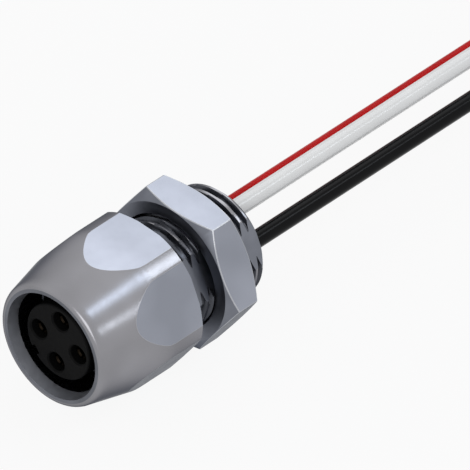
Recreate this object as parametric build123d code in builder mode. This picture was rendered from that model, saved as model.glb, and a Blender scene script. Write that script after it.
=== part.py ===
"""Panel receptacle with flying leads, in millimetres.

The connector lies on its wrench flats with its axis along X and its mouth
towards -X. The origin is under the middle of the metal body, on the surface
that it rests on, and +Z is up. Depths are measured from the mouth plane, and
clock angles about the axis start at +Z and grow towards -Y.
"""

import math
import os

from build123d import *

os.makedirs("parts", exist_ok=True)

# Shell: the hexagonal collar with its tapered nose
across_flats = 15.2
rim_radius = 6.6
rim_edge = 0.15
mouth_radius = 5.67
nose_length = 7.9
corner_radius = 8.33
collar_length = 12.85
collar_chamfer_depth = 0.45
collar_chamfer_width = 0.61

# Shell: the threaded tail with its milled flat
body_length = 24.0
thread_radius = 6.0
thread_start = 14.2
relief_radius = 5.35
relief_end = 13.6
tail_chamfer = 0.5
milled_flat = 5.45
milled_flat_clock = 60.0

# Shell: the bores
mating_bore = 5.46
mating_bore_depth = 9.9
entry_chamfer = 0.25
seat_bore = 5.1
seat_depth = 11.3
rear_bore = 4.45
rear_bore_chamfer = 0.2

# Contact carrier and its retainer
carrier_recess = 0.95
boss_radius = 4.1
boss_edge = 0.22
flange_thickness = 1.55
carrier_end = 13.1
fit_gap = 0.05
key_width = 1.0
key_depth = 0.6
key_length = 7.6
key_clock = -135.0
retainer_thickness = 1.9
retainer_edge = 0.2

# Contacts
contact_count = 4
contact_circle = 2.55
contact_hole = 1.025
contact_hole_edge = 0.15
contact_recess = 0.75
contact_radius = 0.95
contact_bore = 0.55
contact_bore_depth = 6.0
contact_slot = 0.24
contact_slot_length = 4.6
contact_collar = 1.25
contact_collar_length = 0.8
cup_radius = 1.0
cup_bore = 0.46
cup_bore_depth = 2.9
cup_length = 3.6
cup_scoop_length = 1.6

# Seals
mating_seal_section = 1.0
panel_seal_section = 1.0
panel_seal_radius = 6.6
panel_groove_depth = 0.75
panel_groove_play = 0.05

# Panel nut
nut_thickness = 4.0
nut_place = 16.5
nut_running_gap = 0.05
nut_face_radius = 7.5
nut_chamfer_angle = 30.0
nut_countersink = 0.17

# Leads, with their bare strands
lead_radius = 0.91
lead_length = 200.0
strand_radius = 0.38
strand_bare = 0.3
strand_into_cup = 2.5
tip_length = 5.0
potting_recess = 0.6
potting_gap = 0.02
lead_contacts = {"white": 0, "black": 1, "red": 3}
gather_start = {"white": 65.5, "black": 64.0, "red": 67.0}
gather_end = 72.5
tail_straight = 4.5
tail_settled = {"white": 14.0, "black": 13.0, "red": 9.0}
tail_lane = {"white": 0.9, "black": -1.7, "red": 2.75}

# Coil of the put-away length: the three leads wound twice as one bundle, long and narrow
coil_place = 76.5
coil_run = 13.0
coil_radius = 4.5
coil_turns = 2
bundle_spread = 0.92
bundle_layer = 3.4
coil_play = 0.03

# Twist tie that holds the coil
tie_thickness = 0.2
tie_width = 2.4
tie_corner = 0.1
tie_play = 0.02
tie_end_length = 3.0

# Derived places
axis_height = across_flats / 2
mouth_x = -body_length / 2
flange_front = seat_depth - flange_thickness
retainer_start = carrier_end + fit_gap
retainer_end = retainer_start + retainer_thickness
cup_start = retainer_end + fit_gap
cup_end = cup_start + cup_length
lead_start = cup_end + strand_bare
potting_end = body_length - potting_recess
groove_inner = panel_seal_radius - panel_seal_section / 2 - panel_groove_play
groove_outer = panel_seal_radius + panel_seal_section / 2 + panel_groove_play
bundle_low = bundle_spread / math.sqrt(3)
bundle_high = 2 * bundle_low
coil_base = tie_thickness + coil_play
bottom_turn = coil_base + lead_radius + bundle_low
entry_turn = bottom_turn + coil_turns * bundle_layer
coil_half_width = bundle_spread + lead_radius + 2 * coil_play
coil_start = mouth_x + coil_place
coil_end = coil_start + coil_run
coil_x = coil_start + coil_run / 2
coil_y = -coil_radius

bore_axis = Axis((mouth_x, 0, axis_height), (1, 0, 0))


def side_plane(y=0.0, z=axis_height):
    """Sketch plane through an axis along X: local x is depth, local y is radius."""
    return Plane(origin=(mouth_x, y, z), x_dir=(1, 0, 0), z_dir=(0, -1, 0))


def station(depth, y=0.0, z=axis_height):
    """Sketch plane across the axis at a depth: local x is +Y, local y is +Z."""
    return Plane(origin=(mouth_x + depth, y, z), x_dir=(0, 1, 0), z_dir=(1, 0, 0))


def clocked(radius, clock):
    """Local (Y, Z) offset of a point at a clock angle about the axis."""
    angle = math.radians(clock)
    return (-radius * math.sin(angle), radius * math.cos(angle))


def contact_places():
    """Local (Y, Z) offsets of the contacts, clockwise from the top."""
    step = 360 / contact_count
    return [clocked(contact_circle, index * step) for index in range(contact_count)]


def finish(piece, name):
    """Label a finished piece and write it as its own node."""
    piece.part.label = name
    export_step(piece.part, f"parts/{name}.step")


# Shell, turned from hexagon bar
with BuildPart() as shell:
    with BuildSketch(side_plane()):
        with BuildLine():
            Polyline(
                (0, mouth_radius),
                (0, rim_radius - rim_edge),
                (rim_edge, rim_radius),
                (nose_length, corner_radius),
                (collar_length - collar_chamfer_depth, corner_radius),
                (collar_length, corner_radius - collar_chamfer_width),
                (collar_length, groove_outer),
                (collar_length - panel_groove_depth, groove_outer),
                (collar_length - panel_groove_depth, groove_inner),
                (collar_length, groove_inner),
                (collar_length, relief_radius),
                (relief_end, relief_radius),
                (thread_start, thread_radius),
                (body_length - tail_chamfer, thread_radius),
                (body_length, thread_radius - tail_chamfer),
                (body_length, rear_bore + rear_bore_chamfer),
                (body_length - rear_bore_chamfer, rear_bore),
                (seat_depth, rear_bore),
                (seat_depth, seat_bore),
                (mating_bore_depth, seat_bore),
                (mating_bore_depth, mating_bore),
                (entry_chamfer, mating_bore),
                close=True,
            )
        make_face()
    revolve(axis=bore_axis)
    with BuildSketch(station(0)):
        RegularPolygon(across_flats / 2, 6, major_radius=False)
    extrude(amount=body_length, mode=Mode.INTERSECT)
    with BuildSketch(station(collar_length)):
        with Locations(clocked(milled_flat + thread_radius / 2, milled_flat_clock)):
            Rectangle(thread_radius, 3 * thread_radius, rotation=90 + milled_flat_clock)
    extrude(amount=body_length - collar_length, mode=Mode.SUBTRACT)
finish(shell, "shell")

# Contact carrier: the black moulding that shows in the mouth
with BuildPart() as contact_carrier:
    with BuildSketch(side_plane()):
        with BuildLine():
            Polyline(
                (carrier_recess, 0),
                (carrier_recess, boss_radius),
                (flange_front, boss_radius),
                (flange_front, seat_bore - fit_gap),
                (seat_depth, seat_bore - fit_gap),
                (seat_depth, rear_bore - fit_gap),
                (carrier_end, rear_bore - fit_gap),
                (carrier_end, 0),
                close=True,
            )
        make_face()
    revolve(axis=bore_axis)
    front_face = contact_carrier.faces().sort_by(Axis.X)[0]
    fillet(front_face.edges(), boss_edge)
    with BuildSketch(station(carrier_recess)):
        with Locations(clocked(boss_radius, key_clock)):
            Rectangle(2 * key_depth, key_width, rotation=90 + key_clock)
    extrude(amount=key_length, mode=Mode.SUBTRACT)
    with BuildSketch(station(carrier_recess)):
        with Locations(*contact_places()):
            Circle(contact_hole)
    extrude(amount=carrier_end - carrier_recess, mode=Mode.SUBTRACT)
    hole_rims = (
        contact_carrier.faces().sort_by(Axis.X)[0].edges().filter_by(GeomType.CIRCLE)
    )
    chamfer([rim for rim in hole_rims if rim.radius < 2 * contact_hole], contact_hole_edge)
    with BuildSketch(station(carrier_end)):
        with Locations(*contact_places()):
            Circle(contact_collar + fit_gap)
    extrude(amount=-(contact_collar_length + fit_gap), mode=Mode.SUBTRACT)
finish(contact_carrier, "contact_carrier")

# Retainer: the disc behind the carrier that locks the contact collars
with BuildPart() as contact_retainer:
    with BuildSketch(station(retainer_start)):
        Circle(rear_bore - fit_gap)
        with Locations(*contact_places()):
            Circle(contact_radius + fit_gap, mode=Mode.SUBTRACT)
    extrude(amount=retainer_thickness)
    rear_rim = contact_retainer.edges().filter_by(GeomType.CIRCLE).group_by(SortBy.RADIUS)[-1]
    chamfer(rear_rim.sort_by(Axis.X)[-1], retainer_edge)
finish(contact_retainer, "contact_retainer")


def socket_contact(name, y, z):
    """Turned contact: slotted socket, collar and a scooped solder cup."""
    collar_start = carrier_end - contact_collar_length
    socket_start = carrier_recess + contact_recess
    with BuildPart() as contact:
        with BuildSketch(side_plane(y, axis_height + z)):
            with BuildLine():
                Polyline(
                    (socket_start, contact_bore + contact_hole_edge),
                    (socket_start, contact_radius - contact_hole_edge),
                    (socket_start + contact_hole_edge, contact_radius),
                    (collar_start, contact_radius),
                    (collar_start, contact_collar),
                    (carrier_end, contact_collar),
                    (carrier_end, contact_radius),
                    (cup_start, contact_radius),
                    (cup_start, cup_radius),
                    (cup_end, cup_radius),
                    (cup_end, cup_bore),
                    (cup_end - cup_bore_depth, cup_bore),
                    (cup_end - cup_bore_depth, 0),
                    (socket_start + contact_bore_depth, 0),
                    (socket_start + contact_bore_depth, contact_bore),
                    (socket_start + contact_hole_edge, contact_bore),
                    close=True,
                )
            make_face()
        revolve(axis=Axis((mouth_x, y, axis_height + z), (1, 0, 0)))
        with BuildSketch(station(socket_start, y, axis_height + z)):
            Rectangle(3 * contact_radius, contact_slot)
            Rectangle(contact_slot, 3 * contact_radius)
        extrude(amount=contact_slot_length, mode=Mode.SUBTRACT)
        with BuildSketch(station(cup_end, y, axis_height + z)):
            with Locations((0, cup_radius)):
                Rectangle(3 * cup_radius, 2 * cup_radius)
        extrude(amount=-cup_scoop_length, mode=Mode.SUBTRACT)
    finish(contact, name)


for index, (place_y, place_z) in enumerate(contact_places(), start=1):
    socket_contact(f"contact_{index}", place_y, place_z)

# Potting: the resin plug that seals the tail round the leads
with BuildPart() as potting:
    with BuildSketch(station(cup_start)):
        Circle(rear_bore - potting_gap)
    extrude(amount=potting_end - cup_start)
    with BuildSketch(station(cup_start)):
        with Locations(*contact_places()):
            Circle(cup_radius + potting_gap)
    extrude(amount=cup_length + potting_gap, mode=Mode.SUBTRACT)
    with BuildSketch(station(cup_start)):
        with Locations(*[contact_places()[slot] for slot in lead_contacts.values()]):
            Circle(strand_radius + potting_gap)
    extrude(amount=potting_end - cup_start, mode=Mode.SUBTRACT)
    with BuildSketch(station(potting_end)):
        with Locations(*[contact_places()[slot] for slot in lead_contacts.values()]):
            Circle(lead_radius + potting_gap)
    extrude(amount=-(potting_end - lead_start), mode=Mode.SUBTRACT)
finish(potting, "potting")

# Mating seal: the ring at the foot of the carrier's boss
with BuildPart() as mating_seal:
    with BuildSketch(side_plane()):
        with Locations(
            (
                flange_front - fit_gap - mating_seal_section / 2,
                boss_radius + fit_gap + mating_seal_section / 2,
            )
        ):
            Circle(mating_seal_section / 2)
    revolve(axis=bore_axis)
finish(mating_seal, "mating_seal")

# Panel seal: the ring in the rear face of the collar
with BuildPart() as panel_seal:
    with BuildSketch(side_plane()):
        with Locations(
            (
                collar_length - panel_groove_depth + panel_seal_section / 2,
                panel_seal_radius,
            )
        ):
            Circle(panel_seal_section / 2)
    revolve(axis=bore_axis)
finish(panel_seal, "panel_seal")

# Panel nut, chamfered on both faces
nut_corner = across_flats / math.sqrt(3) + nut_running_gap
nut_chamfer = (nut_corner - nut_face_radius) * math.tan(math.radians(nut_chamfer_angle))
nut_bore = thread_radius + nut_running_gap
with BuildPart() as panel_nut:
    with BuildSketch(side_plane()):
        with BuildLine():
            Polyline(
                (nut_place, nut_bore + nut_countersink),
                (nut_place, nut_face_radius),
                (nut_place + nut_chamfer, nut_corner),
                (nut_place + nut_thickness - nut_chamfer, nut_corner),
                (nut_place + nut_thickness, nut_face_radius),
                (nut_place + nut_thickness, nut_bore + nut_countersink),
                (nut_place + nut_thickness - nut_countersink, nut_bore),
                (nut_place + nut_countersink, nut_bore),
                close=True,
            )
        make_face()
    revolve(axis=bore_axis)
    with BuildSketch(station(nut_place)):
        RegularPolygon(across_flats / 2, 6, major_radius=False)
    extrude(amount=nut_thickness, mode=Mode.INTERSECT)
finish(panel_nut, "panel_nut")

# Where each lead lies in the wound bundle: its offset outwards and upwards
bundle_offsets = {
    "white": (0.0, bundle_high),
    "red": (bundle_spread, -bundle_low),
    "black": (-bundle_spread, -bundle_low),
}

# Coil: the outer shape of the wound bundle, higher along the run where the leads come in
top_of_turns = entry_turn - bundle_layer + bundle_high + lead_radius
top_of_entry = entry_turn + bundle_high + lead_radius
coil_outer = coil_radius + coil_half_width
coil_inner = coil_radius - coil_half_width
with BuildPart() as lead_coil:
    with BuildSketch(Plane.XY.offset(coil_base)):
        with Locations((coil_x, coil_y)):
            SlotCenterToCenter(coil_run, 2 * coil_outer)
            SlotCenterToCenter(coil_run, 2 * coil_inner, mode=Mode.SUBTRACT)
    extrude(amount=top_of_entry - coil_base)
    with BuildSketch(station(coil_place - coil_outer, 0, 0)):
        with BuildLine():
            Polyline(
                (coil_y - 2 * coil_outer, 0),
                (coil_y - 2 * coil_outer, top_of_turns),
                (coil_y - coil_inner, top_of_turns),
                (coil_y + coil_inner, top_of_entry),
                (coil_outer, top_of_entry),
                (coil_outer, 0),
                close=True,
            )
        make_face()
    extrude(amount=coil_run + 2 * coil_outer, mode=Mode.INTERSECT)
    with BuildSketch(Plane.XY.offset(top_of_turns)):
        with Locations((coil_start - coil_outer, coil_y)):
            Rectangle(2 * coil_outer, 4 * coil_outer)
    extrude(amount=top_of_entry, mode=Mode.SUBTRACT)
finish(lead_coil, "lead_coil")


def bend_radii(points):
    """Bend radius at each corner: 0.45 of the shorter run over tan(half turn)."""
    radii = []
    for before, corner, after in zip(points, points[1:], points[2:]):
        run_in = Vector(corner) - Vector(before)
        run_out = Vector(after) - Vector(corner)
        turn = math.radians(run_in.get_angle(run_out))
        shorter = min(run_in.length, run_out.length)
        radii.append(0.45 * shorter / math.tan(turn / 2))
    return radii


def lead_tube(name, points):
    """Insulated lead along straight runs joined by arcs."""
    radii = bend_radii(points)
    start = Plane(origin=points[0], z_dir=Vector(points[1]) - Vector(points[0]))
    with BuildPart() as tube:
        with BuildLine() as path:
            FilletPolyline(*points, radius=radii)
        with BuildSketch(start):
            Circle(lead_radius)
        sweep()
        swept = math.pi * lead_radius**2 * path.wire().length
        print(name, "bend radii", [round(radius, 1) for radius in radii])
        print(name, f"volume {tube.part.volume:.1f}, section x length {swept:.1f}")
    finish(tube, name)
    return path.wire().length


def strand(name, start, direction, length):
    """Bare stranded wire from a point, round and straight."""
    with BuildPart() as wire:
        with BuildSketch(Plane(origin=start, z_dir=direction)):
            Circle(strand_radius)
        extrude(amount=length)
    finish(wire, name)


def free_end_route(colour, length):
    """Points of a free end: out of the coil's lowest turn, then on the floor."""
    side, lift = bundle_offsets[colour]
    return [
        (coil_end, side, bottom_turn + lift),
        (coil_end + tail_straight, side, bottom_turn + lift),
        (coil_end + tail_settled[colour], tail_lane[colour], lead_radius),
        (coil_end + length, tail_lane[colour], lead_radius),
    ]


for colour, slot in lead_contacts.items():
    y, z = contact_places()[slot]
    side, lift = bundle_offsets[colour]
    strand(
        f"strand_{colour}",
        (mouth_x + cup_end - strand_into_cup, y, axis_height + z),
        (1, 0, 0),
        lead_start - cup_end + strand_into_cup,
    )
    run_in = lead_tube(
        f"lead_{colour}",
        [
            (mouth_x + lead_start, y, axis_height + z),
            (mouth_x + gather_start[colour], y, axis_height + z),
            (mouth_x + gather_end, side, entry_turn + lift),
            (coil_start, side, entry_turn + lift),
        ],
    )
    one_turn = 2 * coil_run + 2 * math.pi * (coil_radius + side)
    wound = coil_turns * one_turn + coil_run
    left = lead_length + body_length - lead_start - run_in - wound
    print(colour, "free end", round(left, 1))
    free_end = free_end_route(colour, left)
    lead_tube(f"tail_{colour}", free_end)
    strand(f"tip_{colour}", free_end[-1], (1, 0, 0), tip_length)

# Tie: a thin strip round one side of the coil, its ends twisted together on top
tie_inner_width = 2 * (coil_half_width + tie_play)
tie_inner_height = top_of_turns + coil_play - tie_thickness
tie_depth = coil_x - tie_width / 2 - mouth_x
tie_middle = tie_thickness + tie_inner_height / 2
with BuildPart() as coil_tie:
    with BuildSketch(station(tie_depth, coil_y - coil_radius, tie_middle)):
        RectangleRounded(
            tie_inner_width + 2 * tie_thickness,
            tie_inner_height + 2 * tie_thickness,
            tie_corner + tie_thickness,
        )
        with Locations((0, tie_inner_height / 2 + tie_end_length / 2)):
            Rectangle(2 * tie_thickness, tie_end_length + tie_thickness)
        RectangleRounded(tie_inner_width, tie_inner_height, tie_corner, mode=Mode.SUBTRACT)
    extrude(amount=tie_width)
finish(coil_tie, "coil_tie")
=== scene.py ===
"""Scene of a round panel receptacle with three flying leads.

The receptacle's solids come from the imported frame. This script dresses them:
it models the turned and threaded metal parts with their fine forms, runs the
leads as smooth curves, gives each piece its finish and sets up the studio.
The metal parts' sizes are in millimetres, and MM turns them into metres. Their
depths start at the mouth plane. The leads, lamps and floor are in metres.
"""

from __future__ import annotations

import logging
import math
from dataclasses import dataclass
from enum import Enum, IntEnum

import bmesh
import bpy
from mathutils import Matrix, Vector

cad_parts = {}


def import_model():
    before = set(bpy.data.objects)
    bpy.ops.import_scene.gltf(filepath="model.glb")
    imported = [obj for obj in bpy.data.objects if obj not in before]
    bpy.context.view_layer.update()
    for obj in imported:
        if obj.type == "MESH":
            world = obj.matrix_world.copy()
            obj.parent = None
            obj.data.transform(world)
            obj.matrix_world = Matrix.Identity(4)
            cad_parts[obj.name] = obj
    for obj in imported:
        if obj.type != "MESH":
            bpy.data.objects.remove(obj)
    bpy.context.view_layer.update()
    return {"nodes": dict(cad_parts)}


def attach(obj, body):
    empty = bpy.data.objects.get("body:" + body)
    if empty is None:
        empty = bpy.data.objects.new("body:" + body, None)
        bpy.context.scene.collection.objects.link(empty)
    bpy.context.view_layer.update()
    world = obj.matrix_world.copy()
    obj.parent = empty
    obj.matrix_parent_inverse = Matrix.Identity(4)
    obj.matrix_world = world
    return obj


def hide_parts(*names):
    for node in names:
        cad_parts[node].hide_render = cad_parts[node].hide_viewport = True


LOG = logging.getLogger("receptacle")
PIXELS = 470
MM = 0.001
HEXAGON_SIDES = 6

# Millimetres
MOUTH_X = -12.0
AXIS_HEIGHT = 7.6
TOLERANCE = 0.02
MERGE_DISTANCE = 0.0005
FLAT_ROUNDING = 0.08

# Metres
PLANE_SLACK = 1e-8

# Degrees
SHARP_ANGLE = 28.0
RIM_ANGLE = 5.7

# Detail of the noises, and how many times finer the fine smudges are
BROAD_DETAIL = 2.0
FINE_DETAIL = 4.0
MARK_DETAIL = 3.0
FINE_TO_BROAD = 9.0

# Part of a noise's range over which colour and gloss change
COLOUR_RANGE = (0.35, 0.65)
GLOSS_RANGE = (0.3, 0.7)

# Smudges per metre where a finish gives no number, and the marks' bump strength
SMUDGE_SCALE = 300.0
MARK_STRENGTH = 0.35

Colour = tuple[float, float, float]
Profile = list[tuple[float, float]]
Route = list[tuple[float, float, float]]


class Marks(Enum):
    """How a surface was made, with its marks per metre along the axis and across it."""

    TURNED = (9000.0, 40.0)
    MILLED = (250.0, 5200.0)
    MOULDED = (2600.0, 2600.0)


class Surface(IntEnum):
    """The kinds of surface on a metal part, which are its material indices. Several kinds carry
    painted shade, painted highlights or painted light in their finishes: the faced, thread and
    lip kinds are darkened, and the edge and bored kinds are lightened.
    """

    TAPER = 0
    MILLED = 1
    FACED = 2
    THREAD = 3
    LIP = 4
    EDGE = 5
    BORED = 6


class LeadColour(Enum):
    """The three insulation colours."""

    WHITE = "white"
    BLACK = "black"
    RED = "red"


class Body(Enum):
    """The frame's two bodies."""

    RECEPTACLE = "receptacle"
    NUT = "nut"


# Shader groups


def group_sockets(
    tree: bpy.types.ShaderNodeTree, inputs: dict[str, float | None], outputs: tuple[str, ...]
) -> None:
    """Add named sockets to a group.

    Args:
        tree: The group's node tree.
        inputs: Name and default of each number; None makes a vector socket.
        outputs: Name of each number that the group puts out.
    """
    for name, default in inputs.items():
        kind = "NodeSocketVector" if default is None else "NodeSocketFloat"
        socket = tree.interface.new_socket(name, in_out="INPUT", socket_type=kind)
        if default is not None:
            socket.default_value = default
    for name in outputs:
        tree.interface.new_socket(name, in_out="OUTPUT", socket_type="NodeSocketFloat")


def noise(tree: bpy.types.NodeTree, detail: float) -> bpy.types.Node:
    """Add a noise texture.

    Args:
        tree: The node tree.
        detail: The noise's detail.

    Returns:
        The noise node.
    """
    node = tree.nodes.new("ShaderNodeTexNoise")
    node.inputs["Detail"].default_value = detail
    return node


def multiplied(
    tree: bpy.types.NodeTree, source: bpy.types.NodeSocket, factor: float
) -> bpy.types.NodeSocket:
    """Multiply a socket's value by a number.

    Args:
        tree: The node tree.
        source: The socket with the value.
        factor: The number.

    Returns:
        The socket with the product.
    """
    product = tree.nodes.new("ShaderNodeMath")
    product.operation = "MULTIPLY"
    product.inputs[1].default_value = factor
    tree.links.new(source, product.inputs[0])
    return product.outputs[0]


def handling_group() -> bpy.types.ShaderNodeTree:
    """Build the group of faint smudges that handling leaves on every finish.

    Returns:
        The group, with outputs Broad and Fine, both near 0.5.
    """
    tree = bpy.data.node_groups.new("handling", "ShaderNodeTree")
    group_sockets(tree, {"Vector": None, "Scale": SMUDGE_SCALE}, ("Broad", "Fine"))
    inward = tree.nodes.new("NodeGroupInput")
    outward = tree.nodes.new("NodeGroupOutput")
    broad = noise(tree, BROAD_DETAIL)
    fine = noise(tree, FINE_DETAIL)
    fine_scale = multiplied(tree, inward.outputs["Scale"], FINE_TO_BROAD)
    tree.links.new(inward.outputs["Scale"], broad.inputs["Scale"])
    tree.links.new(fine_scale, fine.inputs["Scale"])
    for texture, name in ((broad, "Broad"), (fine, "Fine")):
        tree.links.new(inward.outputs["Vector"], texture.inputs["Vector"])
        tree.links.new(texture.outputs["Fac"], outward.inputs[name])
    return tree


def tool_mark_group() -> bpy.types.ShaderNodeTree:
    """Build the group of fine marks that a tool or a mould leaves.

    Returns:
        The group, with a Height output to feed a bump.
    """
    tree = bpy.data.node_groups.new("tool_marks", "ShaderNodeTree")
    along, across = Marks.MOULDED.value
    group_sockets(tree, {"Vector": None, "Along": along, "Across": across}, ("Height",))
    inward = tree.nodes.new("NodeGroupInput")
    outward = tree.nodes.new("NodeGroupOutput")
    stretch = tree.nodes.new("ShaderNodeCombineXYZ")
    scaled = tree.nodes.new("ShaderNodeVectorMath")
    scaled.operation = "MULTIPLY"
    texture = noise(tree, MARK_DETAIL)
    texture.inputs["Scale"].default_value = 1.0
    for name, axis in (("Along", "X"), ("Across", "Y"), ("Across", "Z")):
        tree.links.new(inward.outputs[name], stretch.inputs[axis])
    tree.links.new(inward.outputs["Vector"], scaled.inputs[0])
    tree.links.new(stretch.outputs["Vector"], scaled.inputs[1])
    tree.links.new(scaled.outputs["Vector"], texture.inputs["Vector"])
    tree.links.new(texture.outputs["Fac"], outward.inputs["Height"])
    return tree


# Finishes


@dataclass(frozen=True)
class Finish:
    """A surface finish, built as a material on Object coordinates.

    Broad smudges mix the two colours, and fine ones mix the two roughnesses. The
    marks' depth is in millimetres.
    """

    name: str
    colour: Colour
    shade: Colour
    roughness: tuple[float, float]
    metallic: float = 0.0
    marks: Marks = Marks.MOULDED
    mark_depth: float = 0.0004
    smudge_scale: float = SMUDGE_SCALE
    specular: float = 0.5
    grazing_tint: Colour = (1.0, 1.0, 1.0)

    def material(self) -> bpy.types.Material:
        """Build the material, or return it if it is there.

        Returns:
            The finish's material.
        """
        name = f"{self.name}_finish"
        known = bpy.data.materials.get(name)
        if known is not None:
            return known
        material = bpy.data.materials.new(name)
        material.use_nodes = True
        tree = material.node_tree
        shader = tree.nodes["Principled BSDF"]
        shader.inputs["Metallic"].default_value = self.metallic
        shader.inputs["Specular IOR Level"].default_value = self.specular
        shader.inputs["Specular Tint"].default_value = (*self.grazing_tint, 1.0)
        place = tree.nodes.new("ShaderNodeTexCoord").outputs["Object"]
        self.smudge(tree, shader, place)
        self.mark(tree, shader, place)
        return material

    def smudge(
        self,
        tree: bpy.types.NodeTree,
        shader: bpy.types.Node,
        place: bpy.types.NodeSocket,
    ) -> None:
        """Feed colour and roughness from the handling group.

        Args:
            tree: The material's node tree.
            shader: Its Principled BSDF.
            place: Its coordinates.
        """
        handling = tree.nodes.new("ShaderNodeGroup")
        handling.node_tree = bpy.data.node_groups["handling"]
        handling.inputs["Scale"].default_value = self.smudge_scale
        tree.links.new(place, handling.inputs["Vector"])
        colours = tree.nodes.new("ShaderNodeValToRGB")
        stops = zip(colours.color_ramp.elements, COLOUR_RANGE, (self.shade, self.colour))
        for stop, position, colour in stops:
            stop.position = position
            stop.color = (*colour, 1.0)
        tree.links.new(handling.outputs["Broad"], colours.inputs["Fac"])
        tree.links.new(colours.outputs["Color"], shader.inputs["Base Color"])
        gloss = tree.nodes.new("ShaderNodeMapRange")
        gloss.inputs["From Min"].default_value = GLOSS_RANGE[0]
        gloss.inputs["From Max"].default_value = GLOSS_RANGE[1]
        gloss.inputs["To Min"].default_value = self.roughness[0]
        gloss.inputs["To Max"].default_value = self.roughness[1]
        tree.links.new(handling.outputs["Fine"], gloss.inputs["Value"])
        tree.links.new(gloss.outputs["Result"], shader.inputs["Roughness"])

    def mark(
        self,
        tree: bpy.types.NodeTree,
        shader: bpy.types.Node,
        place: bpy.types.NodeSocket,
    ) -> None:
        """Feed the normal from the tool mark group through a bump.

        Args:
            tree: The material's node tree.
            shader: Its Principled BSDF.
            place: Its coordinates.
        """
        marks = tree.nodes.new("ShaderNodeGroup")
        marks.node_tree = bpy.data.node_groups["tool_marks"]
        for name, scale in zip(("Along", "Across"), self.marks.value):
            marks.inputs[name].default_value = scale
        tree.links.new(place, marks.inputs["Vector"])
        bump = tree.nodes.new("ShaderNodeBump")
        bump.inputs["Strength"].default_value = MARK_STRENGTH
        bump.inputs["Distance"].default_value = self.mark_depth * MM
        tree.links.new(marks.outputs["Height"], bump.inputs["Height"])
        tree.links.new(bump.outputs["Normal"], shader.inputs["Normal"])


@dataclass(frozen=True)
class MetalFinish(Finish):
    """A turned metal finish, which darkens where it is seen at a grazing angle."""

    metallic: float = 1.0
    marks: Marks = Marks.TURNED
    mark_depth: float = 0.0006
    grazing_tint: Colour = (0.27, 0.28, 0.30)


METAL_FINISHES: dict[Surface, MetalFinish] = {
    Surface.TAPER: MetalFinish(
        "turned_taper",
        (0.310, 0.308, 0.330),
        (0.242, 0.240, 0.255),
        (0.20, 0.25),
        mark_depth=0.0005,
        smudge_scale=110.0,
    ),
    Surface.MILLED: MetalFinish(
        "milled_flat",
        (0.325, 0.342, 0.395),
        (0.252, 0.266, 0.308),
        (0.22, 0.27),
        marks=Marks.MILLED,
        mark_depth=0.0004,
        smudge_scale=110.0,
    ),
    # Painted shade: the end faces, the nut and the tail flat are the same metal as the taper,
    # given a darker colour to look shaded.
    Surface.FACED: MetalFinish(
        "faced_end_shade", (0.190, 0.200, 0.230), (0.150, 0.158, 0.182), (0.30, 0.38)
    ),
    # Painted shade: the threads, the mouth's bore and the tail's run-in are the same metal,
    # given a near-black colour to look shaded in their grooves.
    Surface.THREAD: MetalFinish(
        "cut_thread_shade", (0.072, 0.075, 0.087), (0.055, 0.058, 0.067), (0.25, 0.32)
    ),
    # Painted shade: the rim face is the same metal as the taper, given a darker colour to look
    # shaded.
    Surface.LIP: MetalFinish(
        "turned_lip_shade", (0.200, 0.208, 0.232), (0.150, 0.156, 0.174), (0.40, 0.48)
    ),
    # Painted highlight: the rounded rims are the same metal as the flats, given a lighter colour
    # to catch light.
    Surface.EDGE: MetalFinish(
        "edge_highlight",
        (0.46, 0.47, 0.50),
        (0.38, 0.39, 0.42),
        (0.25, 0.32),
        marks=Marks.MOULDED,
        mark_depth=0.0004,
    ),
    # Painted light: the entry wall inside the mouth is the same metal, given a lighter colour so
    # that it reads lit though it lies in the bore's shade.
    Surface.BORED: MetalFinish(
        "bored_entry_light", (0.400, 0.415, 0.460), (0.310, 0.320, 0.355), (0.40, 0.48)
    ),
}
CARRIER_PLASTIC = Finish(
    "carrier_plastic",
    (0.0048, 0.0048, 0.0050),
    (0.0034, 0.0034, 0.0036),
    (0.45, 0.55),
    specular=0.04,
)
POTTING_RESIN = Finish(
    "potting_resin",
    (0.02, 0.02, 0.022),
    (0.013, 0.013, 0.014),
    (0.20, 0.32),
    smudge_scale=700.0,
    specular=0.3,
)
SEAL_RUBBER = Finish(
    "seal_rubber", (0.010, 0.010, 0.010), (0.007, 0.007, 0.007), (0.6, 0.75), specular=0.1
)
# Painted shade: the bronze contacts are given a near-black colour so that the socket holes look
# dark.
SHADED_CONTACT_BRONZE = MetalFinish(
    "shaded_contact_bronze", (0.009, 0.0066, 0.0045), (0.0065, 0.0048, 0.0035), (0.30, 0.42)
)
TINNED_COPPER = MetalFinish(
    "tinned_copper",
    (0.60, 0.60, 0.61),
    (0.48, 0.47, 0.46),
    (0.25, 0.4),
    marks=Marks.MOULDED,
    mark_depth=0.0004,
)
TIE_PLASTIC = Finish("tie_plastic", (0.05, 0.05, 0.052), (0.035, 0.035, 0.036), (0.35, 0.5))
INSULATION: dict[LeadColour, Finish] = {
    LeadColour.WHITE: Finish(
        "white_insulation",
        (0.82, 0.82, 0.815),
        (0.79, 0.79, 0.785),
        (0.15, 0.2),
        mark_depth=0.0001,
        specular=0.45,
    ),
    LeadColour.BLACK: Finish(
        "black_insulation",
        (0.006, 0.006, 0.0065),
        (0.0045, 0.0045, 0.005),
        (0.12, 0.17),
        mark_depth=0.0001,
        specular=0.07,
    ),
    LeadColour.RED: Finish(
        "red_insulation",
        (0.56, 0.008, 0.009),
        (0.50, 0.006, 0.007),
        (0.18, 0.24),
        mark_depth=0.0001,
        specular=0.03,
    ),
}


# Modelling helpers


def shown(name: str, data: bpy.types.ID) -> bpy.types.Object:
    """Put an object with this data into the scene.

    Args:
        name: The object's name.
        data: Its mesh, curve, lamp or camera.

    Returns:
        The new object, at the origin.
    """
    item = bpy.data.objects.new(name, data)
    bpy.context.scene.collection.objects.link(item)
    return item


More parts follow.
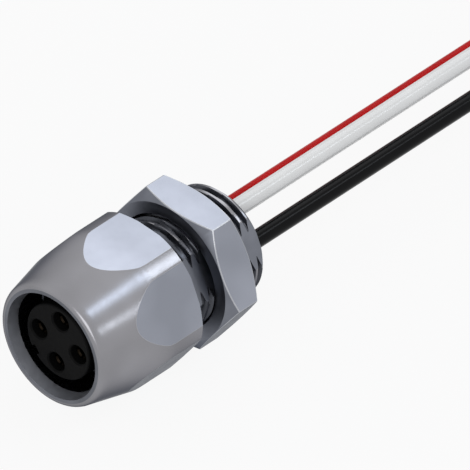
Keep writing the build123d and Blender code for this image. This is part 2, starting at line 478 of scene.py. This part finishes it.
def on_axis(depth: float, radius: float = 0.0) -> Vector:
    """A point on or above the connector's axis.

    Args:
        depth: Distance behind the mouth plane, in millimetres.
        radius: Distance above the axis, in millimetres.

    Returns:
        The point in the row frame, in metres.
    """
    return Vector((MOUTH_X + depth, 0.0, AXIS_HEIGHT + radius)) * MM


def depth_and_radius(point: Vector) -> tuple[float, float]:
    """Where a point lies on the connector.

    Args:
        point: The point in the row frame, in metres.

    Returns:
        Its distances behind the mouth plane and from the axis, in millimetres.
    """
    return point.x / MM - MOUTH_X, math.hypot(point.y / MM, point.z / MM - AXIS_HEIGHT)


def stepped(start: float, end: float, step: float, radius: float) -> Profile:
    """Profile points along a cylinder, close enough to carry a thread.

    Args:
        start: First depth, in millimetres.
        end: Last depth, in millimetres.
        step: Greatest distance between points, in millimetres.
        radius: The cylinder's radius, in millimetres.

    Returns:
        The points, both ends included.
    """
    count = max(1, math.ceil(abs(end - start) / step))
    return [(start + (end - start) * index / count, radius) for index in range(count + 1)]


def spun(profile: Profile, steps: int) -> bmesh.types.BMesh:
    """Spin a closed profile about the connector's axis.

    Args:
        profile: Depth and radius of each point, in millimetres.
        steps: Number of steps round the axis.

    Returns:
        The closed ring as a bmesh.
    """
    mesh = bmesh.new()
    points = [mesh.verts.new(on_axis(depth, radius)) for depth, radius in profile]
    for first, second in zip(points, points[1:] + points[:1]):
        mesh.edges.new((first, second))
    bmesh.ops.spin(
        mesh,
        geom=mesh.verts[:] + mesh.edges[:],
        cent=on_axis(0.0),
        axis=(1.0, 0.0, 0.0),
        dvec=(0.0, 0.0, 0.0),
        angle=2.0 * math.pi,
        steps=steps,
        use_merge=True,
        use_duplicate=False,
    )
    bmesh.ops.remove_doubles(mesh, verts=mesh.verts[:], dist=MERGE_DISTANCE * MM)
    bmesh.ops.recalc_face_normals(mesh, faces=mesh.faces[:])
    return mesh


def cut_flat(
    mesh: bmesh.types.BMesh,
    apothem: float,
    clock: float,
    behind: float = -math.inf,
    surface: Surface = Surface.MILLED,
) -> None:
    """Mill one flat parallel to the axis and close it.

    Args:
        mesh: The turned piece.
        apothem: Distance of the flat from the axis, in millimetres.
        clock: The flat's angle from the top towards -Y, in degrees.
        behind: Cut only what lies wholly behind this depth, in millimetres.
        surface: The kind of surface that the flat becomes.
    """
    angle = math.radians(clock)
    outward = Vector((0.0, -math.sin(angle), math.cos(angle)))
    limit = (MOUTH_X + behind) * MM - PLANE_SLACK
    faces = [face for face in mesh.faces if all(vert.co.x >= limit for vert in face.verts)]
    edges = {edge for face in faces for edge in face.edges}
    points = {vert for face in faces for vert in face.verts}
    cut = bmesh.ops.bisect_plane(
        mesh,
        geom=[*faces, *edges, *points],
        dist=PLANE_SLACK,
        plane_co=on_axis(0.0) + outward * apothem * MM,
        plane_no=outward,
        clear_outer=True,
        clear_inner=False,
    )
    rim = [item for item in cut["geom_cut"] if isinstance(item, bmesh.types.BMEdge)]
    open_rim = [edge for edge in rim if edge.is_valid and len(edge.link_faces) == 1]
    filled = bmesh.ops.holes_fill(mesh, edges=open_rim, sides=0)
    for face in filled["faces"]:
        face.material_index = surface


def cut_hexagon(mesh: bmesh.types.BMesh, across_flats: float) -> None:
    """Mill six flats, one of them on top."""
    for side in range(HEXAGON_SIDES):
        cut_flat(mesh, across_flats / 2.0, 360.0 / HEXAGON_SIDES * side)


def soften_flats(mesh: bmesh.types.BMesh) -> None:
    """Round the rims of the milled flats a little, as tumbling does, and give them the lighter
    edge finish, a painted highlight.

    Args:
        mesh: The piece with its flats.
    """
    rims = {
        edge
        for face in mesh.faces
        if face.material_index == Surface.MILLED
        for edge in face.edges
        if edge.calc_face_angle(0.0) > math.radians(RIM_ANGLE)
    }
    rounded = bmesh.ops.bevel(
        mesh,
        geom=list(rims),
        offset=FLAT_ROUNDING * MM,
        offset_type="OFFSET",
        affect="EDGES",
        segments=2,
        profile=0.5,
        material=-1,
        clamp_overlap=True,
    )
    # The rounded rims take the lighter edge finish, a painted highlight.
    for face in rounded["faces"]:
        face.material_index = Surface.EDGE


def metal_piece(mesh: bmesh.types.BMesh, name: str, body: Body) -> bpy.types.Object:
    """Turn a bmesh into a smooth-shaded metal piece that rides on a body.

    Args:
        mesh: The modelled shape, which is freed.
        name: The piece's name.
        body: The body that it rides on.

    Returns:
        The new object.
    """
    bmesh.ops.recalc_face_normals(mesh, faces=mesh.faces[:])
    for edge in mesh.edges:
        kinds = {face.material_index for face in edge.link_faces}
        seam = len(kinds) > 1 and Surface.THREAD in kinds
        edge.smooth = not seam and edge.calc_face_angle(0.0) < math.radians(SHARP_ANGLE)
    data = bpy.data.meshes.new(name)
    mesh.to_mesh(data)
    mesh.free()
    for surface in Surface:
        data.materials.append(METAL_FINISHES[surface].material())
    data.shade_smooth()
    piece = shown(name, data)
    weighted = piece.modifiers.new("weighted", "WEIGHTED_NORMAL")
    weighted.keep_sharp = True
    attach(piece, body.value)
    LOG.info("%s has %d faces", name, len(data.polygons))
    return piece


# Metal parts


@dataclass(frozen=True)
class Thread:
    """A right-handed thread that is cut by moving a cylinder's wall.

    It fades over run_out at its two ends, and shift moves its crests backwards.
    From the middle of the root to the middle of the crest, the flank ends at the
    share crest_edge and takes the share flank.
    """

    start: float
    end: float
    wall: float
    root: float
    run_out: tuple[float, float]
    shift: float = 0.0
    pitch: float = 1.0
    crest_edge: float = 0.65
    flank: float = 0.5

    def share(self, depth: float, turn: float) -> float:
        """Share of the thread's depth that is cut away at a place.

        Args:
            depth: Distance behind the mouth plane, in millimetres.
            turn: Angle about the axis, in turns.

        Returns:
            0 on the crest and 1 in the root.
        """
        phase = ((depth - self.shift) / self.pitch - turn) % 1.0
        from_root = abs(2.0 * phase - 1.0)
        return min(1.0, max(0.0, (self.crest_edge - from_root) / self.flank))

    def cut(self, mesh: bmesh.types.BMesh) -> None:
        """Move the wall's points to the thread's form.

        Args:
            mesh: The turned piece.
        """
        centre = on_axis(0.0)
        for vert in mesh.verts:
            depth, radius = depth_and_radius(vert.co)
            if abs(radius - self.wall) > TOLERANCE or not self.start <= depth <= self.end:
                continue
            across = Vector((0.0, vert.co.y - centre.y, vert.co.z - centre.z))
            turn = math.atan2(across.z, across.y) / (2.0 * math.pi)
            fade = min(
                1.0,
                (depth - self.start) / self.run_out[0],
                (self.end - depth) / self.run_out[1],
            )
            moved = self.wall + (self.root - self.wall) * fade * self.share(depth, turn)
            place = centre + across.normalized() * moved * MM
            vert.co = Vector((vert.co.x, place.y, place.z))


@dataclass
class Shell:
    """The turned body: tapered mouth, hexagonal collar and threaded tail.

    The nose widens evenly from rim_radius at rim_edge to corner_radius at
    nose_length, and follows that line from nose_start to nose_end.
    """

    steps: int = 252
    nose_steps: int = 12
    tail_step: float = 0.085
    mouth_step: float = 0.125
    across_flats: float = 15.2
    corner_radius: float = 8.33
    rim_inner: float = 5.74
    rim_outer: float = 6.12
    rim_rounding: tuple[tuple[float, float], ...] = ((0.03, 6.3), (0.11, 6.46), (0.27, 6.58))
    rim_radius: float = 6.6
    rim_edge: float = 0.15
    nose_start: float = 0.5
    nose_end: float = 7.3
    nose_length: float = 7.9
    shoulder_radius: float = 8.3
    shoulder_end: float = 8.6
    collar_length: float = 12.85
    collar_chamfer: tuple[float, float] = (0.45, 0.61)
    groove_inner: float = 6.05
    groove_outer: float = 7.15
    groove_depth: float = 0.75
    relief_radius: float = 5.35
    relief_end: float = 13.6
    tail_thread: Thread = Thread(14.2, 23.5, 6.0, 5.6, (0.3, 0.35), shift=0.2)
    # Up to this depth the tail behind the collar takes the dark thread finish, painted shade in
    # the gap.
    run_in_shade_end: float = 14.8
    tail_chamfer: float = 0.5
    tail_flat: float = 5.45
    tail_flat_clock: float = 60.0
    entry_cone: float = 1.25
    mouth_thread: Thread = Thread(4.4, 9.2, 5.46, 5.98, (0.5, 0.8))
    mouth_depth: float = 9.9
    seat_radius: float = 5.1
    seat_depth: float = 11.3
    rear_bore: float = 4.45
    rear_bore_chamfer: float = 0.2

    def profile(self) -> Profile:
        """Run round the closed half section, from the rim back and through the bores.

        Returns:
            The section's points.
        """
        groove_floor = self.collar_length - self.groove_depth
        tail = self.tail_thread
        rear = tail.end + self.tail_chamfer
        return [
            (0.0, self.rim_inner),
            (0.0, self.rim_outer),
            *self.rim_rounding,
            *self.nose(),
            (self.nose_length, self.shoulder_radius),
            (self.shoulder_end, self.corner_radius),
            (self.collar_length - self.collar_chamfer[0], self.corner_radius),
            (self.collar_length, self.corner_radius - self.collar_chamfer[1]),
            (self.collar_length, self.groove_outer),
            (groove_floor, self.groove_outer),
            (groove_floor, self.groove_inner),
            (self.collar_length, self.groove_inner),
            (self.collar_length, self.relief_radius),
            (self.relief_end, self.relief_radius),
            *stepped(tail.start, tail.end, self.tail_step, tail.wall),
            (rear, tail.wall - self.tail_chamfer),
            (rear, self.rear_bore + self.rear_bore_chamfer),
            (rear - self.rear_bore_chamfer, self.rear_bore),
            (self.seat_depth, self.rear_bore),
            (self.seat_depth, self.seat_radius),
            (self.mouth_depth, self.seat_radius),
            *stepped(self.mouth_depth, self.entry_cone, self.mouth_step, self.mouth_thread.wall),
        ]

    def nose(self) -> Profile:
        """Step along the tapered nose, close enough for smooth arcs on the flats.

        Returns:
            The nose's points.
        """
        slope = (self.corner_radius - self.rim_radius) / (self.nose_length - self.rim_edge)
        run = self.nose_end - self.nose_start
        places = range(self.nose_steps + 1)
        depths = [self.nose_start + run * place / self.nose_steps for place in places]
        return [(depth, self.rim_radius + slope * (depth - self.rim_edge)) for depth in depths]

    def surface_at(self, depth: float, radius: float) -> Surface:
        """Tell the kind of turned surface at a place.

        Args:
            depth: Distance behind the mouth plane, in millimetres.
            radius: Distance from the axis, in millimetres.

        Returns:
            The kind of surface.
        """
        if depth > self.collar_length + TOLERANCE:
            # The tail's grooves, its relief and its first turn take the dark thread finish,
            # painted shade.
            cut = radius < self.tail_thread.wall - TOLERANCE or depth < self.run_in_shade_end
            return Surface.THREAD if cut and depth < self.tail_thread.end else Surface.TAPER
        # The collar's rear face takes the darker faced finish, painted shade.
        if depth > self.collar_length - TOLERANCE:
            return Surface.FACED
        if radius > self.rim_outer:
            return Surface.TAPER
        # The rim face takes the darker lip finish, painted shade.
        if depth < TOLERANCE:
            return Surface.LIP
        # The entry wall takes the lighter bored finish, painted light, and the bore beyond it
        # takes the dark thread finish, painted shade.
        return Surface.BORED if depth < self.entry_cone else Surface.THREAD

    def build(self) -> bpy.types.Object:
        """Model the shell and put it in the place of its CAD node.

        Returns:
            The shell's piece.
        """
        mesh = spun(self.profile(), self.steps)
        self.tail_thread.cut(mesh)
        self.mouth_thread.cut(mesh)
        for face in mesh.faces:
            face.material_index = self.surface_at(*depth_and_radius(face.calc_center_median()))
        cut_hexagon(mesh, self.across_flats)
        # The tail flat takes the darker faced finish, painted shade.
        cut_flat(mesh, self.tail_flat, self.tail_flat_clock, self.relief_end, Surface.FACED)
        soften_flats(mesh)
        piece = metal_piece(mesh, "turned_shell", Body.RECEPTACLE)
        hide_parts("shell")
        return piece


@dataclass
class PanelNut:
    """The hexagonal nut on the tail, chamfered on both faces."""

    steps: int = 180
    bore_step: float = 0.125
    across_flats: float = 15.2
    corner_allowance: float = 0.05
    face_radius: float = 7.5
    chamfer_angle: float = 30.0
    thread: Thread = Thread(16.5, 20.5, 6.05, 6.4, (0.3, 0.3), shift=0.2)
    countersink: float = 0.17

    def profile(self) -> Profile:
        """Run round the closed half section, from the front face back and through the bore.

        Returns:
            The section's points.
        """
        corner = self.across_flats / math.sqrt(3.0) + self.corner_allowance
        rise = (corner - self.face_radius) * math.tan(math.radians(self.chamfer_angle))
        front, rear, bore = self.thread.start, self.thread.end, self.thread.wall
        return [
            (front, bore + self.countersink),
            (front, self.face_radius),
            (front + rise, corner),
            (rear - rise, corner),
            (rear, self.face_radius),
            (rear, bore + self.countersink),
            *stepped(rear - self.countersink, front + self.countersink, self.bore_step, bore),
        ]

    def build(self) -> bpy.types.Object:
        """Model the nut and put it in the place of its CAD node.

        Returns:
            The nut's piece.
        """
        mesh = spun(self.profile(), self.steps)
        self.thread.cut(mesh)
        # The whole nut takes the darker faced finish, painted shade.
        for face in mesh.faces:
            face.material_index = Surface.FACED
        cut_hexagon(mesh, self.across_flats)
        soften_flats(mesh)
        piece = metal_piece(mesh, "threaded_nut", Body.NUT)
        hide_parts("panel_nut")
        return piece


# Leads


@dataclass
class Lead:
    """One insulated lead, from the potting through the folded bundle to its free end.

    It leaves the tail at exit, given across and up, and straight holds the last two
    places of that straight line. In the bundle it keeps its own side and lift. Its
    free end lies on the floor at end_side, between the two places of end_run.
    """

    colour: LeadColour
    exit: tuple[float, float]
    straight: tuple[float, float]
    side: float
    lift: float
    end_side: float
    end_run: tuple[float, float]
    radius: float = 0.00091
    length: float = 0.2
    potting_end: float = 0.0112
    bundle_start: float = 0.0605
    bundle_end: float = 0.082
    bundle_height: float = 0.0084712
    folds: tuple[float, float] = (0.0645, 0.0775)
    inset: float = 0.0018
    bend_radius: float = 0.0045
    bend_points: int = 8
    turns: int = 2
    layer: float = 0.0034
    ring_detail: int = 8
    run_detail: int = 10
    order: int = 3

    def height(self, turn: int) -> float:
        """Height of the lead at the start of a turn of the bundle."""
        return self.bundle_height + self.lift - turn * self.layer

    def run(self) -> Route:
        """Lead from the potting straight out of the tail and into the bundle.

        Returns:
            The run's control points.
        """
        straight = [(place, *self.exit) for place in (self.potting_end, *self.straight)]
        return [*straight, (self.bundle_start, self.side, self.height(0))]

    def bend(self, centre: float, forward: float, height: float, drop: float) -> Route:
        """Go round one end of the bundle, so that the curve keeps its radius.

        Args:
            centre: Place of the bend's centre along the axis.
            forward: 1 for the far end and -1 for the near end.
            height: Height at the bend's start.
            drop: How far the lead sinks along the bend.

        Returns:
            The bend's control points.
        """
        step = math.pi / self.bend_points
        reach = (self.bend_radius + self.side) / math.cos(step / 2.0)
        points = []
        for index in range(self.bend_points):
            angle = (index + 0.5) * step
            share = angle / math.pi
            sunk = drop * share * share * (3.0 - 2.0 * share)
            points.append(
                (
                    centre + forward * reach * math.sin(angle),
                    forward * reach * math.cos(angle) - self.bend_radius,
                    height - sunk,
                )
            )
        return points

    def winding(self) -> Route:
        """Wind the folded turns, from the top one down to the floor.

        Returns:
            The bundle's control points.
        """
        near, far = self.folds
        start, end = near + self.inset, far - self.inset
        outer = -2.0 * self.bend_radius - self.side
        points = []
        for turn in range(self.turns):
            upper, lower = self.height(turn), self.height(turn + 1)
            points += [(start, self.side, upper), (end, self.side, upper)]
            points += self.bend(far, 1.0, upper, self.layer)
            points += [(end, outer, lower), (start, outer, lower)]
            points += self.bend(near, -1.0, lower, 0.0)
        floor = self.height(self.turns)
        return points + [(start, self.side, floor), (end, self.side, floor)]

    def free_end(self) -> Route:
        """Come out of the bundle and lie on the floor.

        Returns:
            The free end's control points.
        """
        lying = [(place, self.end_side, self.radius) for place in self.end_run]
        return [(self.bundle_end, self.side, self.height(self.turns)), *lying]

    def build(self) -> bpy.types.Object:
        """Returns:
            The lead's curve.
        """
        word = self.colour.value
        name = f"{word}_lead"
        curve = bpy.data.curves.new(name, "CURVE")
        curve.dimensions = "3D"
        curve.bevel_depth = self.radius
        curve.bevel_resolution = self.ring_detail
        curve.resolution_u = self.run_detail
        curve.use_fill_caps = True
        points = self.run() + self.winding() + self.free_end()
        spline = curve.splines.new("NURBS")
        spline.points.add(len(points) - 1)
        for point, place in zip(spline.points, points):
            point.co = (*place, 1.0)
        spline.order_u = self.order
        spline.use_endpoint_u = True
        curve.materials.append(INSULATION[self.colour].material())
        cord = shown(name, curve)
        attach(cord, Body.RECEPTACLE.value)
        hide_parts(f"lead_{word}", f"tail_{word}", "lead_coil")
        LOG.info("%s runs through %d points", name, len(points))
        return cord


LEADS: tuple[Lead, ...] = (
    Lead(
        LeadColour.WHITE,
        exit=(0.0, 0.01015),
        straight=(0.0465, 0.0535),
        side=0.0,
        lift=0.0010623,
        end_side=0.0009,
        end_run=(0.0915, 0.1034),
    ),
    Lead(
        LeadColour.BLACK,
        exit=(-0.00255, 0.0076),
        straight=(0.0435, 0.052),
        side=-0.00092,
        lift=-0.00053116,
        end_side=-0.0017,
        end_run=(0.0905, 0.1149),
    ),
    Lead(
        LeadColour.RED,
        exit=(0.00255, 0.0076),
        straight=(0.0495, 0.055),
        side=0.00092,
        lift=-0.00053116,
        end_side=0.00275,
        end_run=(0.0865, 0.0917),
    ),
)


# Pieces that keep their CAD mesh


@dataclass
class CadDress:
    """Finishes for the CAD nodes that show as they are."""

    finishes: tuple[tuple[Finish, tuple[str, ...]], ...] = (
        (CARRIER_PLASTIC, ("contact_carrier", "contact_retainer")),
        (SHADED_CONTACT_BRONZE, ("contact_1", "contact_2", "contact_3", "contact_4")),
        (POTTING_RESIN, ("potting",)),
        (SEAL_RUBBER, ("mating_seal", "panel_seal")),
        (TINNED_COPPER, ("strand_white", "strand_black", "strand_red")),
        (TINNED_COPPER, ("tip_white", "tip_black", "tip_red")),
        (TIE_PLASTIC, ("coil_tie",)),
    )

    def dress(self, nodes: dict[str, bpy.types.Object]) -> None:
        """Give each node its finish.

        Args:
            nodes: The frame's nodes by name.
        """
        for finish, names in self.finishes:
            for name in names:
                data = nodes[name].data
                data.materials.clear()
                data.materials.append(finish.material())
                LOG.info("%s is dressed in %s", name, finish.name)


# Studio


@dataclass
class Camera:
    """The photograph's viewpoint: a long lens, turned a little about its view."""

    azimuth: float = -51.64
    elevation: float = 40.50
    roll: float = 6.473
    pixels_per_mm: float = 10.45
    mouth_pixel: tuple[float, float] = (51.2, 346.65)
    distance: float = 1.6
    sensor: float = 36.0
    clip: tuple[float, float] = (0.1, 10.0)

    def build(self) -> bpy.types.Object:
        """Set the scene's camera.

        Returns:
            The camera.
        """
        turn, tilt = math.radians(self.azimuth), math.radians(self.elevation)
        back = Vector(
            (
                math.sin(turn) * math.cos(tilt),
                -math.cos(turn) * math.cos(tilt),
                math.sin(tilt),
            )
        )
        level_right = Vector((0.0, 0.0, 1.0)).cross(back).normalized()
        level_up = back.cross(level_right)
        lean = math.radians(self.roll)
        right = level_right * math.cos(lean) + level_up * math.sin(lean)
        up = back.cross(right)
        across = (PIXELS / 2.0 - self.mouth_pixel[0]) / self.pixels_per_mm
        rise = (self.mouth_pixel[1] - PIXELS / 2.0) / self.pixels_per_mm
        target = on_axis(0.0) + (right * across + up * rise) * MM
        data = bpy.data.cameras.new("camera")
        data.sensor_width = self.sensor
        data.lens = self.pixels_per_mm * self.distance / MM * self.sensor / PIXELS
        data.clip_start, data.clip_end = self.clip
        camera = shown("camera", data)
        place = Matrix((right, up, back)).transposed().to_4x4()
        place.translation = target + back * self.distance
        camera.matrix_world = place
        bpy.context.scene.camera = camera
        return camera


@dataclass
class Softbox:
    """A square area light that looks at the connector."""

    name: str
    place: tuple[float, float, float]
    size: float
    power: float
    colour: Colour = (1.0, 1.0, 1.0)
    aim: tuple[float, float, float] = (0.0, 0.0, 0.008)

    def build(self) -> bpy.types.Object:
        """Add the light.

        Returns:
            The light's object.
        """
        data = bpy.data.lights.new(self.name, "AREA")
        data.shape = "SQUARE"
        data.size = self.size
        data.energy = self.power
        data.color = self.colour
        light = shown(self.name, data)
        light.location = self.place
        towards = Vector(self.aim) - Vector(self.place)
        light.rotation_euler = towards.to_track_quat("-Z", "Y").to_euler()
        return light


@dataclass
class Studio:
    """Pale floor, white surroundings and the softboxes."""

    floor_size: float = 6.0
    floor_colour: Colour = (0.66, 0.66, 0.67)
    floor_roughness: float = 0.9
    floor_glow: float = 0.91
    fill: float = 0.56
    boxes: tuple[Softbox, ...] = (
        Softbox("high_back", (0.374, 0.231, 0.33), 0.34, 0.48, (0.94, 0.97, 1.0)),
        Softbox("high_right", (0.11, -0.21, 0.45), 0.09, 0.08, (0.72, 0.84, 1.0)),
        Softbox("right", (0.10, -0.405, 0.28), 0.07, 0.045, (0.88, 0.94, 1.0)),
        Softbox("between", (0.21, -0.20, 0.41), 0.09, 0.09, (0.78, 0.88, 1.0)),
        Softbox("far_right", (0.298, -0.18, 0.36), 0.09, 0.11, (0.86, 0.93, 1.0)),
        Softbox("front", (-0.60, -0.32, 0.42), 0.5, 1.3),
    )

    def build(self) -> None:
        """Add floor, world and lights."""
        self.floor()
        self.world()
        for box in self.boxes:
            LOG.info("lit by %s", box.build().name)

    def seen_white(self, tree: bpy.types.NodeTree) -> bpy.types.NodeSocket:
        """Mask that is 1 for camera, glossy and transmission rays.

        Args:
            tree: The material's or the world's node tree.

        Returns:
            The mask's socket.
        """
        path = tree.nodes.new("ShaderNodeLightPath")
        mask = path.outputs["Is Camera Ray"]
        for name in ("Is Glossy Ray", "Is Transmission Ray"):
            joined = tree.nodes.new("ShaderNodeMath")
            joined.operation = "MAXIMUM"
            tree.links.new(mask, joined.inputs[0])
            tree.links.new(path.outputs[name], joined.inputs[1])
            mask = joined.outputs[0]
        return mask

    def floor_material(self) -> bpy.types.Material:
        """Build the floor's finish, which glows a little less than white when seen.

        Returns:
            The floor's material, which keeps a soft shadow.
        """
        material = bpy.data.materials.new("pale_floor")
        material.use_nodes = True
        tree = material.node_tree
        shader = tree.nodes["Principled BSDF"]
        shader.inputs["Base Color"].default_value = (*self.floor_colour, 1.0)
        shader.inputs["Roughness"].default_value = self.floor_roughness
        shader.inputs["Specular IOR Level"].default_value = 0.0
        glow = tree.nodes.new("ShaderNodeEmission")
        glow.inputs["Strength"].default_value = 1.0
        share = multiplied(tree, self.seen_white(tree), self.floor_glow)
        mixed = tree.nodes.new("ShaderNodeMixShader")
        tree.links.new(share, mixed.inputs["Fac"])
        tree.links.new(shader.outputs["BSDF"], mixed.inputs[1])
        tree.links.new(glow.outputs["Emission"], mixed.inputs[2])
        tree.links.new(mixed.outputs["Shader"], tree.nodes["Material Output"].inputs["Surface"])
        return material

    def floor(self) -> None:
        """Lay the pale floor."""
        mesh = bmesh.new()
        bmesh.ops.create_grid(mesh, x_segments=1, y_segments=1, size=self.floor_size / 2.0)
        data = bpy.data.meshes.new("floor")
        mesh.to_mesh(data)
        mesh.free()
        data.materials.append(self.floor_material())
        shown("floor", data)

    def world(self) -> None:
        """Surround the object with a plain soft fill that shows as white."""
        world = bpy.data.worlds.new("surroundings")
        bpy.context.scene.world = world
        world.use_nodes = True
        tree = world.node_tree
        background = tree.nodes["Background"]
        background.inputs["Color"].default_value = (1.0, 1.0, 1.0, 1.0)
        strength = tree.nodes.new("ShaderNodeMapRange")
        strength.inputs["To Min"].default_value = self.fill
        strength.inputs["To Max"].default_value = 1.0
        tree.links.new(self.seen_white(tree), strength.inputs["Value"])
        tree.links.new(strength.outputs["Result"], background.inputs["Strength"])


def main() -> None:
    """Build the scene in order and report each piece."""
    logging.basicConfig(level=logging.INFO, format="%(name)s: %(message)s")
    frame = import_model()
    bpy.context.scene.view_settings.view_transform = "Standard"
    handling_group()
    tool_mark_group()
    Camera().build()
    for part in (*LEADS, Shell(), PanelNut()):
        LOG.info("built %s", part.build().name)
    CadDress().dress(frame["nodes"])
    Studio().build()


if __name__ == "__main__":
    main()
